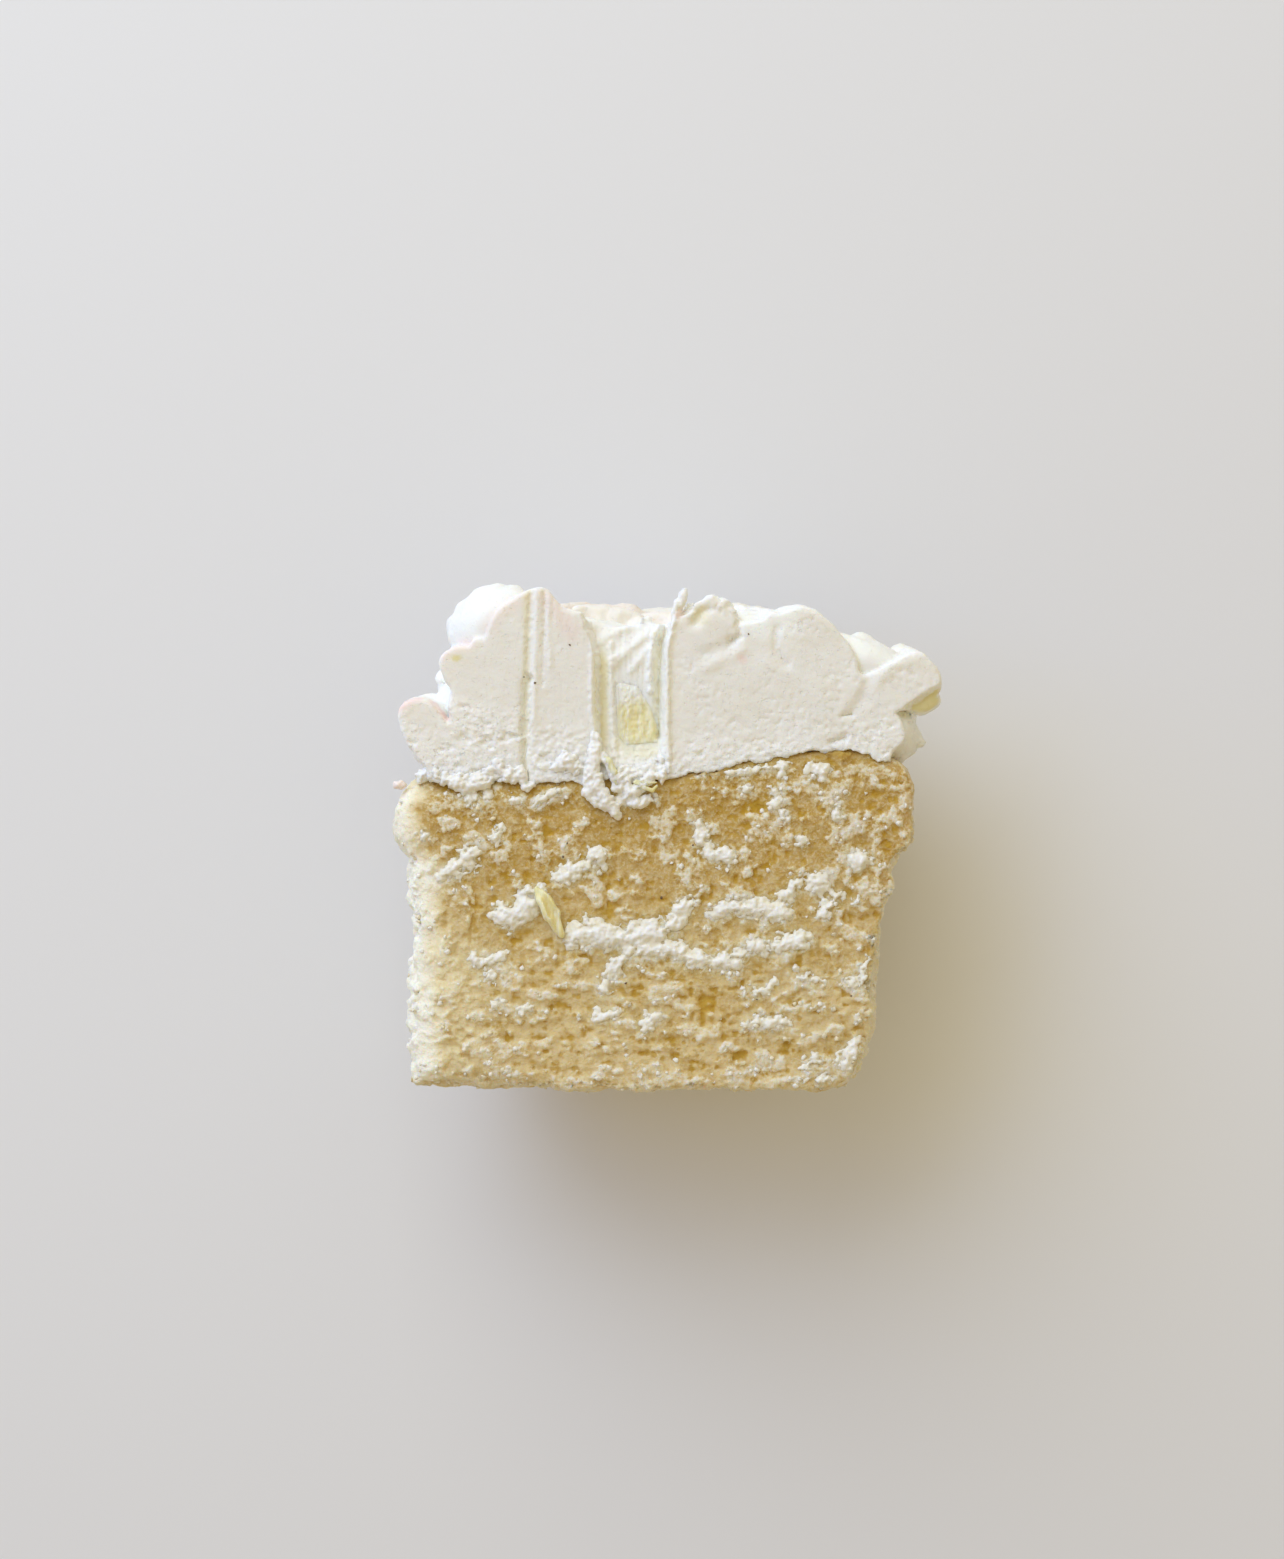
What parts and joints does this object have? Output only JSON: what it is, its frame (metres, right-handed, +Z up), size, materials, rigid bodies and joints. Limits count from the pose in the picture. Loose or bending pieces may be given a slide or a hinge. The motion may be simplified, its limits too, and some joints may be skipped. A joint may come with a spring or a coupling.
{
  "type": "half cupcake",
  "caption": "Half of an unwrapped vanilla cupcake with ruffled white buttercream, cut lengthwise and lying on its round back with the cut face up.",
  "frame": {"origin": "centre of the bounding box's bottom, on the surface that the rounded back lies on", "axes": "+X across the cut face, +Y from the sponge's base towards the icing, +Z up, out of the cut face"},
  "size_m": [0.0606, 0.0562, 0.0314],
  "materials": {
    "sponge_crumb": "moist open vanilla crumb with amber pores, paler at its peeled sides and browned at its crown",
    "buttercream": "soft satin white buttercream with a few pink petal edges",
    "yellow_buttercream": "soft satin pale yellow buttercream"
  },
  "bodies": {
    "root": {"sponge": "sponge_crumb", "buttercream": "buttercream", "yellow_core": "yellow_buttercream"}
  },
  "joints": []
}
